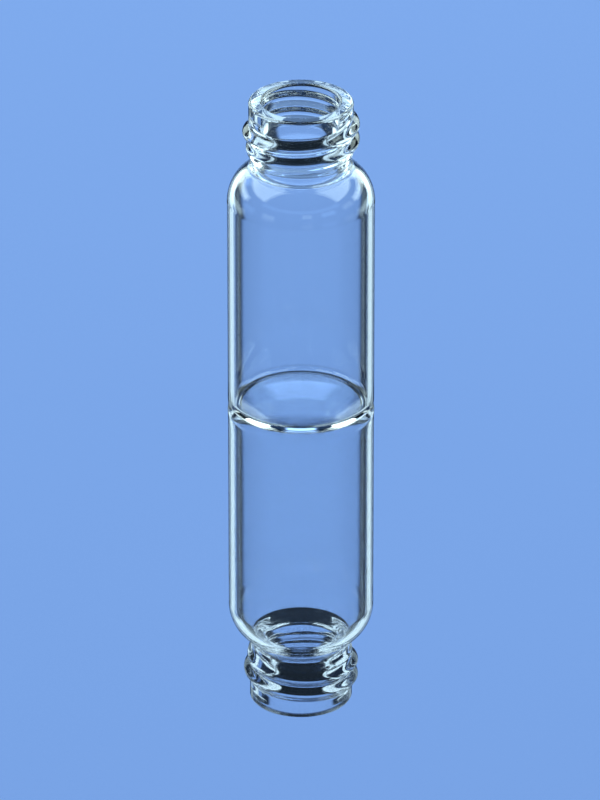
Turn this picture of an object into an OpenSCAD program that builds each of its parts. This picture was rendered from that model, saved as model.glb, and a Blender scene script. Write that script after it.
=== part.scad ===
// Glass sample vial with a screw neck, formed from one length of clear tubing.
// The vial stands on its foot ring at z = 0, with its axis along +Z.
// All lengths are in millimetres and all angles in degrees.

/* [Body] */
// Outside diameter of the body tube
body_d = 27; // [24:0.5:30]
// Wall thickness of the body tube
body_wall = 1.2; // [0.9:0.1:1.6]
// Height of the whole vial, from the bench to the lip
total_h = 61.3; // [50:0.1:90]

/* [Base] */
// Radius of the heel, where the wall turns into the base
heel_r = 1.2; // [0.8:0.1:2.4]
// Radius of the fillet inside, where the floor meets the wall
floor_fillet_r = 1.1; // [0.4:0.1:2.4]
// Thickness of the floor in the middle
floor_t = 1.3; // [0.8:0.1:2]
// Thickness of the floor at its edge, over the foot ring's inner edge
floor_edge_t = 0.8; // [0.6:0.1:1.2]
// Width of the flat foot ring that the vial stands on
foot_w = 0.8; // [0.5:0.1:2]
// Height that the middle of the base is pushed up
push_up = 1.3; // [0.4:0.1:1.8]

/* [Shoulder] */
// Radius of the rounded shoulder, outside
shoulder_r = 8; // [6.5:0.25:9]
// Radius of the hollow where the shoulder runs up into the neck
hollow_r = 1.8; // [0.8:0.1:2.5]
// Outside diameter of the waist, at the top of that hollow
waist_d = 18.1; // [16.5:0.1:18.5]
// Radius of the throat inside, where the shoulder runs up into the bore
throat_r = 1.6; // [0.6:0.1:2]

/* [Neck] */
// Outside diameter of the neck, under the thread
neck_d = 19.1; // [18.6:0.1:20.5]
// Diameter of the bore through the neck
bore_d = 14.1; // [10:0.1:14.5]
// Height of the neck, from its waist to the lip
neck_h = 11.7; // [10:0.1:18]
// Height over which the neck widens from its waist to its full diameter
flare_h = 1.8; // [1:0.1:3]
// Radius of the lip's outer edge
lip_outer_r = 0.6; // [0.4:0.1:1.2]
// Width of the lip's rounded inner edge
lip_inner_w = 0.5; // [0.2:0.1:1]
// Height of the lip's rounded inner edge
lip_inner_h = 0.6; // [0.4:0.1:1.6]

/* [Thread] */
// Rise of the right-hand thread in one turn
thread_pitch = 3; // [2.8:0.1:4]
// Height of the rounded ridge above the neck
thread_depth = 1.1; // [0.8:0.05:1.5]
// Width of the ridge at its root, where neighbouring turns may run into each other
thread_w = 4.2; // [3:0.1:5]
// Distance of the ridge's crest below the lip, at its upper end
thread_drop = 3; // [2.8:0.1:4]
// Distance of the ridge's crest above the waist, at its lower end
thread_rise = 2; // [1.4:0.1:4]
// Angle round from +X, counterclockwise from above, at which the ridge starts at the top
thread_start = 180; // [0:1:359]
// Angle over which the ridge swells at its upper end
run_in = 50; // [10:5:150]
// Angle over which the ridge fades at its lower end
run_out = 190; // [20:5:220]

/* [Hidden] */
$fn = 120;
glass_tint = [0.80, 0.89, 0.95, 0.45];

// Angles between the points of a small round edge, of the shoulder and of the shallow dome
edge_step = 10;
shoulder_step = 4;
dome_step = 1;

// Points up the widening neck, and rows and columns of the threaded sleeve
flare_steps = 8;
row_step = 0.35;
sleeve_steps = 48;

body_r = body_d / 2;
cavity_r = body_r - body_wall;
neck_r = neck_d / 2;
bore_r = bore_d / 2;
waist_r = waist_d / 2;

// The base is pushed up as part of a ball, which starts at the foot ring's inner edge
foot_in_r = body_r - heel_r - foot_w;
ball_r = (foot_in_r * foot_in_r + push_up * push_up) / (2 * push_up);
ball_z = push_up - ball_r;
ball_sweep = asin(foot_in_r / ball_r);

// The floor is a rounder dome over that ball, and its fillet runs on smoothly into the wall
dome_rise = push_up + floor_t - floor_edge_t;
dome_r = (foot_in_r * foot_in_r + dome_rise * dome_rise) / (2 * dome_rise);
dome_z = push_up + floor_t - dome_r;
fillet_x = cavity_r - floor_fillet_r;
fillet_tilt = asin(fillet_x / (dome_r + floor_fillet_r));
fillet_z = dome_z + (dome_r + floor_fillet_r) * cos(fillet_tilt);

// The shoulder's curve ends where the hollow under the neck touches it
shoulder_x = body_r - shoulder_r;
hollow_x = waist_r + hollow_r;
hollow_z = total_h - neck_h;
shoulder_sweep = acos((hollow_x - shoulder_x) / (shoulder_r + hollow_r));
shoulder_z = hollow_z - (shoulder_r + hollow_r) * sin(shoulder_sweep);

// Inside, the shoulder keeps the tube's wall until the throat turns it up into the bore
inner_r = shoulder_r - body_wall;
throat_x = bore_r + throat_r;
throat_sweep = acos((throat_x - shoulder_x) / (inner_r + throat_r));
throat_z = shoulder_z + (inner_r + throat_r) * sin(throat_sweep);

// The ridge turns down from its upper end until its crest reaches its lower end
thread_top_z = total_h - thread_drop;
thread_sweep = 360 * (neck_h - thread_drop - thread_rise) / thread_pitch;

// The ridge stands on a sleeve, whose surface is sunk a little way under the neck's and whose
// inside lies well within the glass
sleeve_sink = 0.1;
sleeve_depth = 0.6;
sleeve_in_r = waist_r - sleeve_depth;
sleeve_low = max(hollow_z + thread_rise - thread_w / 2, hollow_z);
sleeve_high = min(thread_top_z + thread_w / 2, total_h - lip_outer_r);
row_count = ceil((sleeve_high - sleeve_low) / row_step);

// Power that joins neighbouring turns: the higher it is, the sharper the valley between them
join_power = 3;

// Points on an arc about [x, z], from angle a to angle b. One that runs on from the arc before
// it leaves out the point that they share, with first = 1. It is part of an ellipse where its
// height, rise, isn't its radius.
function arc(x, z, r, a, b, step, first = 0, rise = 0) =
    let (n = ceil(abs(b - a) / step), h = rise > 0 ? rise : r)
    [for (i = [first:n]) let (t = a * (1 - i / n) + b * i / n) [x + r * cos(t), z + h * sin(t)]];

// Smooth rise from 0 to 1 while x goes from 0 to 1
function ease(x) = (1 - cos(180 * min(1, max(0, x)))) / 2;

// Radius of the bare neck at height z, which widens above the waist
function neck_at(z) = waist_r + (neck_r - waist_r) * ease((z - hollow_z) / flare_h);

// Share of the full ridge that stands after turning down through angle t from its upper end
function swell(t) = ease(t / run_in) * ease((thread_sweep - t) / run_out);

// Share of the full ridge at height z over the crest's own height, across the ridge
function bump(z) = ease(1 - abs(z) * 2 / thread_w);

// Share at angle t and height z, where the turns above each other blend smoothly
function ridge(t, z) =
    let (turns = [
        for (u = [t:360:thread_sweep])
            pow(swell(u) * bump(z - thread_top_z + thread_pitch * u / 360), join_power)
    ])
    pow(turns * [for (share = turns) 1], 1 / join_power);

// Half section of the glass, as [radius, height]
glass_outline = concat(
    arc(0, ball_z, ball_r, 90, 90 - ball_sweep, dome_step),
    arc(body_r - heel_r, heel_r, heel_r, -90, 0, edge_step),
    arc(shoulder_x, shoulder_z, shoulder_r, 0, shoulder_sweep, shoulder_step),
    arc(hollow_x, hollow_z, hollow_r, 180 + shoulder_sweep, 180, edge_step, first = 1),
    [for (i = [1:flare_steps]) let (z = hollow_z + flare_h * i / flare_steps) [neck_at(z), z]],
    arc(neck_r - lip_outer_r, total_h - lip_outer_r, lip_outer_r, 0, 90, edge_step),
    arc(bore_r + lip_inner_w, total_h - lip_inner_h, lip_inner_w, 90, 180, edge_step, rise = lip_inner_h),
    arc(throat_x, throat_z, throat_r, 180, 180 + throat_sweep, edge_step),
    arc(shoulder_x, shoulder_z, inner_r, throat_sweep, 0, shoulder_step, first = 1),
    arc(fillet_x, fillet_z, floor_fillet_r, 0, -90 - fillet_tilt, edge_step),
    arc(0, dome_z, dome_r, 90 - fillet_tilt, 90, dome_step, first = 1)
);

// Section of the threaded sleeve at angle t below the ridge's upper end, as [radius, height]
function sleeve_section(t) = concat(
    [for (i = [0:row_count])
        let (z = sleeve_low + (sleeve_high - sleeve_low) * i / row_count)
        [neck_at(z) - sleeve_sink + (thread_depth + sleeve_sink) * ridge(t, z), z]],
    [[sleeve_in_r, sleeve_high], [sleeve_in_r, sleeve_low]]
);

module blown_tube() {
    rotate_extrude() polygon(glass_outline);
}

module thread() {
    size = row_count + 3;
    points = [
        for (k = [0:sleeve_steps - 1])
            let (t = 360 * k / sleeve_steps, a = thread_start - t)
            for (p = sleeve_section(t)) [p[0] * cos(a), p[0] * sin(a), p[1]]
    ];
    faces = [
        for (k = [0:sleeve_steps - 1], i = [0:size - 1])
            let (
                a = k * size + i,
                b = k * size + (i + 1) % size,
                c = (k + 1) % sleeve_steps * size + i,
                d = (k + 1) % sleeve_steps * size + (i + 1) % size
            )
            each [[a, d, b], [a, c, d]]
    ];
    polyhedron(points, faces, convexity = 6);
}

module vial() {
    color(glass_tint)
    union() {
        blown_tube();
        thread();
    }
}

vial();
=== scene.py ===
# %% [markdown]
# # A glass sample vial
# A sample vial is a small bottle for a laboratory. It is made from one length of clear glass
# tubing, so the whole object is one solid: there is no seam, no cap and no second piece.
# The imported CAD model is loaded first, because it says how big the vial is and where it stands.

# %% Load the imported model
from math import acos, asin, cos, degrees, pi, radians, sin

import bpy
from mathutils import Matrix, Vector


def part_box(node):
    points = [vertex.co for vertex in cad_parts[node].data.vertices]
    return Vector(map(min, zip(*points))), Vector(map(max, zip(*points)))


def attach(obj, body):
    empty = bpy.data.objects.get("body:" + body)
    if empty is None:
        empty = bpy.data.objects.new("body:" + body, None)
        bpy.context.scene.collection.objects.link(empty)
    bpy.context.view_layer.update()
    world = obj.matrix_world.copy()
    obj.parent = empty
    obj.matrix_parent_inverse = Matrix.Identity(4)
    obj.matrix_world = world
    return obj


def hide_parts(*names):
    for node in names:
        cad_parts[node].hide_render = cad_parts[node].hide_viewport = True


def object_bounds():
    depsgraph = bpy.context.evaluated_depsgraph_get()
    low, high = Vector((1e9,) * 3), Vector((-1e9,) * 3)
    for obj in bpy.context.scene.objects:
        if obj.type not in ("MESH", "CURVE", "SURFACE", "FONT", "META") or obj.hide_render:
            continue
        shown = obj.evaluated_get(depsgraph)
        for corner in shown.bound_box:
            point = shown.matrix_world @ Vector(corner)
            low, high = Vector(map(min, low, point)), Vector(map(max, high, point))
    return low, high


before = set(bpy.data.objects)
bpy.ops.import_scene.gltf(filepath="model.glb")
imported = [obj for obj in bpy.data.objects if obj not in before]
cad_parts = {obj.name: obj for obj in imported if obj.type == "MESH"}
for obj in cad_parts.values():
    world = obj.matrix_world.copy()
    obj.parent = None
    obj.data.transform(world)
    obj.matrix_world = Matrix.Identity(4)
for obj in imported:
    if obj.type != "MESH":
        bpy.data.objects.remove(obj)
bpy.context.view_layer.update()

low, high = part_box("vial")
print("CAD box in mm:", [round(1000 * (b - a), 2) for a, b in zip(low, high)])

# %% [markdown]
# ## Sizes
# Glass tubing is bought by its diameter and wall. The body keeps both, and heat and tools make
# the rest: the shoulder is drawn in, the thread is pressed by a roller, and the base is sealed.
# All sizes are in millimetres here. The diameter and the height are read from the CAD box, and
# everything else is a size that a glass worker would set.

# %% Sizes in millimetres
MM = 0.001

body_r = high[0] / MM
total_h = high[2] / MM
body_wall = 1.2
cavity_r = body_r - body_wall

heel_r = 1.2
foot_w = 0.8
floor_fillet_r = 1.1
floor_t = 1.3
floor_edge_t = 0.8
push_up = 1.3

shoulder_r = 8
hollow_r = 1.8
throat_r = 1.6
waist_r = 18.1 / 2

neck_r = 19.1 / 2
bore_r = 14.1 / 2
neck_h = 11.7
flare_h = 1.8
lip_outer_r = 0.6
lip_inner_w = 0.5
lip_inner_h = 0.6
print(f"body {2 * body_r:.1f} mm across, {total_h:.1f} mm tall, wall {body_wall} mm")

# %% [markdown]
# ## Where the curves meet
# Every curve of the section is an arc, and two arcs look like one piece of glass only if they
# touch without a corner. Two circles do that where the line through their centres crosses them,
# so each meeting point follows from the radii by a little trigonometry, with nothing to guess.

# %% Meeting points of the arcs
foot_in_r = body_r - heel_r - foot_w
ball_r = (foot_in_r ** 2 + push_up ** 2) / (2 * push_up)
ball_z = push_up - ball_r
ball_sweep = asin(foot_in_r / ball_r)

dome_rise = push_up + floor_t - floor_edge_t
dome_r = (foot_in_r ** 2 + dome_rise ** 2) / (2 * dome_rise)
dome_z = push_up + floor_t - dome_r
fillet_x = cavity_r - floor_fillet_r
fillet_tilt = asin(fillet_x / (dome_r + floor_fillet_r))
fillet_z = dome_z + (dome_r + floor_fillet_r) * cos(fillet_tilt)

shoulder_x = body_r - shoulder_r
hollow_x = waist_r + hollow_r
hollow_z = total_h - neck_h
shoulder_sweep = acos((hollow_x - shoulder_x) / (shoulder_r + hollow_r))
shoulder_z = hollow_z - (shoulder_r + hollow_r) * sin(shoulder_sweep)

inner_r = shoulder_r - body_wall
throat_x = bore_r + throat_r
throat_sweep = acos((throat_x - shoulder_x) / (inner_r + throat_r))
throat_z = shoulder_z + (inner_r + throat_r) * sin(throat_sweep)
print(f"shoulder starts {shoulder_z:.1f} mm up, neck {hollow_z:.1f} mm up")

# %% [markdown]
# ## Drawing the section
# The solid is round, so only half of its section is drawn, standing on the XZ plane, and then
# spun. It starts as a plane merged to a single point. Extruding that point draws a straight
# line, and the spin tool works as a compass: it turns the point about the centre of an arc.
# The last point stays selected, so the next stretch carries on from there. The steps are many,
# because clear glass shows every facet in the picture that it bends.

# %% Pencil and compass
SMALL_ARC_STEPS = 16
HEEL_STEPS = 18
SHOULDER_STEPS = 40
INNER_SHOULDER_STEPS = 36
WALL_ROWS = 24
RING_ROWS = 3


def deselect_all():
    if bpy.context.object and bpy.context.object.mode == "EDIT":
        bpy.ops.object.mode_set(mode="OBJECT")
    bpy.ops.object.select_all(action="DESELECT")


def start_point(name, x, z):
    deselect_all()
    bpy.ops.mesh.primitive_plane_add(size=MM, location=(0, 0, 0))
    piece = bpy.context.object
    piece.name = name
    bpy.ops.object.mode_set(mode="EDIT")
    bpy.ops.mesh.select_all(action="SELECT")
    bpy.ops.mesh.merge(type="CENTER")
    bpy.ops.transform.translate(value=(x * MM, 0, z * MM))
    return piece


pen = Vector((0, 0))


def line_to(x, z, steps=1):
    start = pen.copy()
    for i in range(1, steps + 1):
        move_to(start.lerp(Vector((x, z)), i / steps))


def move_to(point):
    step = (point - pen) * MM
    bpy.ops.mesh.extrude_region_move(TRANSFORM_OT_translate={"value": (step.x, 0, step.y)})
    pen.xy = point


def arc(x, z, turn, steps):
    bpy.ops.mesh.spin(steps=steps, angle=turn, center=(x * MM, 0, z * MM), axis=(0, 1, 0))
    out = pen - Vector((x, z))
    pen.xy = (x + out.x * cos(turn) - out.y * sin(turn), z + out.x * sin(turn) + out.y * cos(turn))


# %% [markdown]
# ## The outside, from the middle of the base to the neck
# A flat base would rock on the smallest bump, so the glass worker pushes its middle up and the
# vial stands on a narrow ring. Then come the heel, the straight body, the round shoulder and
# the small hollow that turns the shoulder up into the neck.

# %% Outside of the base, body and shoulder
def ease(x):
    return (1 - cos(pi * min(1, max(0, x)))) / 2


def neck_at(z):
    return waist_r + (neck_r - waist_r) * ease((z - hollow_z) / flare_h)


vial = start_point("glass_vial", 0, push_up)
pen.xy = (0, push_up)
arc(0, ball_z, -ball_sweep, SMALL_ARC_STEPS)
line_to(body_r - heel_r, 0, RING_ROWS)
arc(body_r - heel_r, heel_r, pi / 2, HEEL_STEPS)
line_to(body_r, shoulder_z, WALL_ROWS)
arc(shoulder_x, shoulder_z, shoulder_sweep, SHOULDER_STEPS)
arc(hollow_x, hollow_z, -shoulder_sweep, SMALL_ARC_STEPS)
print(f"the pen is at {pen.x:.3f}, {pen.y:.3f} mm, and the waist at {waist_r:.3f}, {hollow_z:.3f}")

# %% [markdown]
# ## The neck and the lip
# Over the waist the neck widens a little, because the roller that presses the thread leaves
# the glass above it fuller. The ridge is raised later, so here the neck only gets enough rows
# to shape it from. A flame softens the cut end into a round lip, tighter outside than inside.

# %% Outside of the neck, then over the lip
NECK_ROWS = 108
lip_z = total_h - lip_outer_r
for i in range(1, NECK_ROWS + 1):
    z = hollow_z + (lip_z - hollow_z) * i / NECK_ROWS
    line_to(neck_at(z), z)
arc(neck_r - lip_outer_r, lip_z, pi / 2, SMALL_ARC_STEPS)
line_to(bore_r + lip_inner_w, total_h, RING_ROWS)
for i in range(1, SMALL_ARC_STEPS + 1):
    a = pi / 2 * i / SMALL_ARC_STEPS
    line_to(bore_r + lip_inner_w * (1 - sin(a)), total_h - lip_inner_h * (1 - cos(a)))
print(f"lip {neck_r - bore_r:.2f} mm thick, rounded over {lip_outer_r} and {lip_inner_h} mm")

# %% [markdown]
# ## The inside, back down to the floor
# Inside, the shoulder keeps the tubing's wall, until a soft throat turns it up into the bore.
# The floor is a dome, rounder than the pushed-up base below it, with a fillet into the wall.

# %% Inside of the neck, shoulder, body and floor
line_to(bore_r, throat_z, WALL_ROWS)
arc(throat_x, throat_z, throat_sweep, SMALL_ARC_STEPS)
arc(shoulder_x, shoulder_z, -throat_sweep, INNER_SHOULDER_STEPS)
line_to(cavity_r, fillet_z, WALL_ROWS)
arc(fillet_x, fillet_z, -(pi / 2 + fillet_tilt), SMALL_ARC_STEPS)
arc(0, dome_z, fillet_tilt, SMALL_ARC_STEPS)
bpy.ops.object.mode_set(mode="OBJECT")
print(f"{len(vial.data.vertices)} points; the pen ends at {pen.x:.4f}, {pen.y:.3f} mm")

# %% [markdown]
# ## Spinning the section
# One full turn about the Z axis makes the solid. The two ends of the section lie on the axis,
# so each becomes a heap of points there: merging them closes the two poles. Spinning may turn
# the faces inwards, so the normals are worked out again on the closed shell.

# %% Spin, close the poles, turn the faces outwards
TURN_STEPS = 240
deselect_all()
vial.select_set(True)
bpy.context.view_layer.objects.active = vial
bpy.ops.object.mode_set(mode="EDIT")
bpy.ops.mesh.select_all(action="SELECT")
bpy.ops.mesh.spin(steps=TURN_STEPS, angle=2 * pi, center=(0, 0, 0), axis=(0, 0, 1))
bpy.ops.mesh.select_all(action="SELECT")
bpy.ops.mesh.remove_doubles(threshold=MM / 1000)
bpy.ops.mesh.normals_make_consistent(inside=False)
bpy.ops.object.mode_set(mode="OBJECT")
print(f"{len(vial.data.vertices)} points, {len(vial.data.polygons)} faces")

# %% [markdown]
# ## The thread
# A cut thread would be a separate helix with sharp ends. This one is pressed in hot glass, so
# the ridge is round, swells from nothing at its start, fades at its end, and one turn runs
# into the next. No single extruded profile gives that, so every point of the neck is moved
# outwards by a formula instead: a soft bump across the ridge, times how far it has swollen.

# %% Raise the ridge out of the neck
thread_pitch = 3
thread_depth = 1.1
thread_w = 4.2
thread_drop = 3
thread_rise = 2
thread_top_z = total_h - thread_drop
thread_end_z = hollow_z + thread_rise
thread_start = 180
run_in = 50
run_out = 190
join_power = 3
thread_sweep = 360 * (thread_top_z - thread_end_z) / thread_pitch


def ridge(t, z):
    total = 0
    while t <= thread_sweep:
        swell = ease(t / run_in) * ease((thread_sweep - t) / run_out)
        crest_z = thread_top_z - thread_pitch * t / 360
        total += (swell * ease(1 - abs(z - crest_z) * 2 / thread_w)) ** join_power
        t += 360
    return total ** (1 / join_power)


moved = 0
for v in vial.data.vertices:
    out = Vector((v.co.x, v.co.y, 0))
    z = v.co.z / MM
    if z < hollow_z or z > lip_z or out.length < waist_r * MM - 1e-6:
        continue
    angle = degrees(out.xy.angle_signed(Vector((1, 0))))
    share = ridge((thread_start - angle) % 360, z)
    v.co += out.normalized() * thread_depth * share * MM
    moved += share > 0
vial.data.update()
print(f"{moved} points moved, over {thread_sweep / 360:.2f} turns")

# %% Smooth shading
deselect_all()
vial.select_set(True)
bpy.context.view_layer.objects.active = vial
bpy.ops.object.shade_smooth()
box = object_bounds()
print("after the thread:", [round((b - a) / MM, 2) for a, b in zip(*box)])

# %% [markdown]
# ## Materials
# Colours are written as the sRGB hex values that a painter's swatch would show. Blender's
# shaders work in linear light, so one function turns them. Another adds a node with its
# settings and its links, so that each material below reads as a list of what it is made of.

# %% Colour and node helpers
def linear(hex_code):
    values = [int(hex_code[i:i + 2], 16) / 255 for i in (1, 3, 5)]
    return [v / 12.92 if v <= 0.04045 else ((v + 0.055) / 1.055) ** 2.4 for v in values] + [1]


def add(tree, kind, links=None, values=None, **settings):
    node = tree.nodes.new(kind)
    for key, value in settings.items():
        setattr(node, key, value)
    for key, value in (values or {}).items():
        node.inputs[key].default_value = value
    for key, socket in (links or {}).items():
        tree.links.new(socket, node.inputs[key])
    return node


def new_material(name):
    material = bpy.data.materials.new(name)
    material.use_nodes = True
    material.node_tree.nodes.clear()
    return material, material.node_tree


# %% [markdown]
# ## Fire-polished borosilicate
# Laboratory tubing is borosilicate, which bends light a little less than window glass: its
# index is 1.473. Its surface was never touched by a mould, only melted, so it is perfectly
# smooth and needs no pattern. What the eye sees of it is how it bends its surroundings, so the
# shape of the walls and the studio around them do the work that a texture does elsewhere.

# %% Glass
glass, tree = new_material("fire_polished_borosilicate")
shader = add(tree, "ShaderNodeBsdfPrincipled",
             values={"Base Color": linear("#fdfeff"), "Roughness": 0, "IOR": 1.473,
                     "Transmission Weight": 1})
add(tree, "ShaderNodeOutputMaterial", {"Surface": shader.outputs["BSDF"]})
vial.data.materials.append(glass)
print("glass:", glass.name)

# %% [markdown]
# ## Floor
# The vial stands on a sheet of pale blue acrylic, polished like a mirror. Acrylic reflects
# more the flatter one looks at it, which the Fresnel node works out from its index of 1.49.
# The little of the sheet's own matt colour that shows takes what shadow the vial has.

# %% Floor
FLOOR_SIZE = 6
MIRROR_SHARE = 0.985
ACRYLIC_IOR = 1.49
deselect_all()
bpy.ops.mesh.primitive_plane_add(size=FLOOR_SIZE, location=(0, 0, 0))
floor = bpy.context.object
floor.name = "floor"
acrylic, tree = new_material("polished_acrylic_sheet")
matt = add(tree, "ShaderNodeBsdfDiffuse", values={"Color": linear("#b4cdf0")})
flatter = add(tree, "ShaderNodeFresnel", values={"IOR": ACRYLIC_IOR})
sheen = add(tree, "ShaderNodeMix", {0: flatter.outputs["Fac"]},
            {6: linear("#777e8c"), 7: (1, 1, 1, 1)}, data_type="RGBA")
gloss = add(tree, "ShaderNodeBsdfGlossy", {"Color": sheen.outputs[2]}, {"Roughness": 0})
both = add(tree, "ShaderNodeMixShader",
           {1: matt.outputs["BSDF"], 2: gloss.outputs["BSDF"]}, {0: MIRROR_SHARE})
add(tree, "ShaderNodeOutputMaterial", {"Surface": both.outputs["Shader"]})
floor.data.materials.append(acrylic)
print("floor:", acrylic.name)

# %% [markdown]
# ## Studio
# Clear glass has no colour to light. A photographer draws it instead: a pale window behind it
# fills it, dark flags beside that window give it its dark edges, and bright strips beyond the
# flags put the white lines into them. The studio here is a dark drum with such panels hung in
# it, painted on the world. A direction is a compass angle, clockwise from +Y as seen from
# above, and a height over the horizon, both in degrees.

# %% A dark drum to hang panels in
SOFT_EDGE = 1.5
NIGHT = "#081422"
world = bpy.data.worlds.new("studio")
bpy.context.scene.world = world
world.use_nodes = True
tree = world.node_tree
tree.nodes.clear()
toward = add(tree, "ShaderNodeTexCoord").outputs["Generated"]
axes = add(tree, "ShaderNodeSeparateXYZ", {"Vector": toward})
compass = add(tree, "ShaderNodeMath", {0: axes.outputs["X"], 1: axes.outputs["Y"]},
              operation="ARCTAN2")
around = add(tree, "ShaderNodeMapRange", {"Value": compass.outputs["Value"]},
             {"From Min": -pi, "From Max": pi})
height = add(tree, "ShaderNodeMath", {0: axes.outputs["Z"]}, operation="ARCSINE")
upward = add(tree, "ShaderNodeMapRange", {"Value": height.outputs["Value"]},
             {"From Min": -pi / 2, "From Max": pi / 2})


def soft_ramp(where, ranges, first, last):
    ramp = add(tree, "ShaderNodeValToRGB", {"Fac": where.outputs["Result"]})
    stops = []
    for low_end, high_end in ranges:
        stops += [(low_end - SOFT_EDGE, 0), (low_end + SOFT_EDGE, 1),
                  (high_end - SOFT_EDGE, 1), (high_end + SOFT_EDGE, 0)]
    # A panel that runs past the end of the scale has no edge there
    stops = [stop for stop in stops if first < stop[0] < last or stop[1] == 1]
    while len(ramp.color_ramp.elements) < len(stops):
        ramp.color_ramp.elements.new(1)
    for element, (place, share) in zip(ramp.color_ramp.elements, stops):
        element.position = min(1, max(0, (place - first) / (last - first)))
        element.color = (share, share, share, 1)
    return ramp.outputs["Color"]


def hang(behind, panels, heights, colour):
    across = soft_ramp(around, panels, -180, 180)
    tall = soft_ramp(upward, [heights], -90, 90)
    share = add(tree, "ShaderNodeMath", {0: across, 1: tall}, operation="MULTIPLY")
    return add(tree, "ShaderNodeMix", {0: share.outputs["Value"], 6: behind}, {7: colour},
               data_type="RGBA").outputs[2]


def glow(hex_code, strength):
    return [strength * value for value in linear(hex_code)[:3]] + [1]


# %% [markdown]
# A pale window hangs behind the vial for the camera, and smaller ones for looks from 45, 90 and
# 225 degrees round and from right above. They hang at those places only: from a side without a
# window, such as straight behind, the vial stands in the dark. The first window's foot is
# dimmer, which puts the darker bands under the ridges. The strips are brighter than the
# windows, because the floor swallows part of their light, and they spread out below and above
# the window's middle, which whitens the sides of the neck and shoulder. The other panels hang
# only as high as they are needed, so that they don't shine on the vial's front. Everything
# else up to the window's height is a deep blue flag, and the drum above it is nearly black.

# %% Hang the windows and the strips
WINDOW = glow("#95c2fe", 2.4)
WINDOW_FOOT = glow("#95c2fe", 0.75)
STRIP = glow("#e4ffff", 3.3)
SIDE_WINDOW = glow("#95c2fe", 1.8)
BACK_WINDOW = glow("#95c2fe", 1.3)
SIDE_STRIP = glow("#e4ffff", 0.8)
ROOM = glow("#95c2fe", 0.7)
FLAG = glow("#152b4a", 1)
SKYLIGHT = glow("#95c2fe", 3)
ALL_ROUND = [(-185, 185)]
GROUND = -95

night = add(tree, "ShaderNodeRGB")
night.outputs[0].default_value = linear(NIGHT)
panels = hang(night.outputs[0], ALL_ROUND, (GROUND, 34), FLAG)
panels = hang(panels, [(-185, -110), (110, 185)], (22.5, 31), ROOM)

# The window behind the vial, then the bright strips beside it
panels = hang(panels, [(-10, 10)], (GROUND, 35.5), WINDOW_FOOT)
panels = hang(panels, [(-10, 10)], (12.5, 35.5), WINDOW)
panels = hang(panels, [(-41.5, -24), (24, 41.5)], (GROUND, 49), STRIP)
panels = hang(panels, [(-80, -24), (24, 80)], (9, 20), STRIP)
panels = hang(panels, [(-110, -24), (24, 110)], (33, 75), STRIP)

# Windows and strips for looks from 45, 90 and 225 degrees round and from right above
panels = hang(panels, [(-57, -41.5)], (20, 31), SIDE_WINDOW)
panels = hang(panels, [(-101.5, -78.5)], (GROUND, 8), WINDOW_FOOT)
panels = hang(panels, [(-138, -118)], (GROUND, 8), SIDE_STRIP)
panels = hang(panels, [(123.5, 146.5)], (9, 20), BACK_WINDOW)
panels = hang(panels, [(87, 107), (163, 178)], (9, 20), SIDE_STRIP)
panels = hang(panels, ALL_ROUND, (83, 95), SKYLIGHT)
seen = add(tree, "ShaderNodeBackground", {"Color": panels})

# %% [markdown]
# A matt surface doesn't need any of this: it gets plain white light from everywhere.

# %% Plain light for the matt surfaces
plain = add(tree, "ShaderNodeBackground", values={"Color": (1, 1, 1, 1), "Strength": 1})
path = add(tree, "ShaderNodeLightPath")
both = add(tree, "ShaderNodeMixShader",
           {0: path.outputs["Is Diffuse Ray"], 1: seen.outputs["Background"],
            2: plain.outputs["Background"]})
add(tree, "ShaderNodeOutputWorld", {"Surface": both.outputs["Shader"]})
print(len(tree.nodes), "nodes paint the studio")

# %% [markdown]
# ## Camera
# A long lens from a metre and a half away keeps the vial's sides nearly parallel. It looks
# down at 27 degrees, so that the mouth and the floor inside both show as ellipses.

# %% Camera
LOOK_DOWN = radians(27.2)
DISTANCE = 1.53
LENS_MM = 374
SENSOR_MM = 36
AIM_RIGHT = -0.18 * MM
AIM_UP = 0.46 * MM
back = Vector((0, -cos(LOOK_DOWN), sin(LOOK_DOWN)))
up = Vector((0, sin(LOOK_DOWN), cos(LOOK_DOWN)))
lens = bpy.data.cameras.new("camera")
lens.lens = LENS_MM
lens.sensor_width = SENSOR_MM
lens.clip_start = 0.05
camera = bpy.data.objects.new("camera", lens)
bpy.context.collection.objects.link(camera)
camera.location = Vector((AIM_RIGHT, 0, 0)) + AIM_UP * up + DISTANCE * back
camera.rotation_euler = back.to_track_quat("Z", "Y").to_euler()
scene = bpy.context.scene
scene.camera = camera
scene.view_settings.view_transform = "Standard"
scene.cycles.max_bounces = 24
scene.cycles.transmission_bounces = 20
scene.cycles.glossy_bounces = 12
print("camera at", [round(c, 3) for c in camera.location])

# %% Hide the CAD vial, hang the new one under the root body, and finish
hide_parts("vial")
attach(vial, "root")
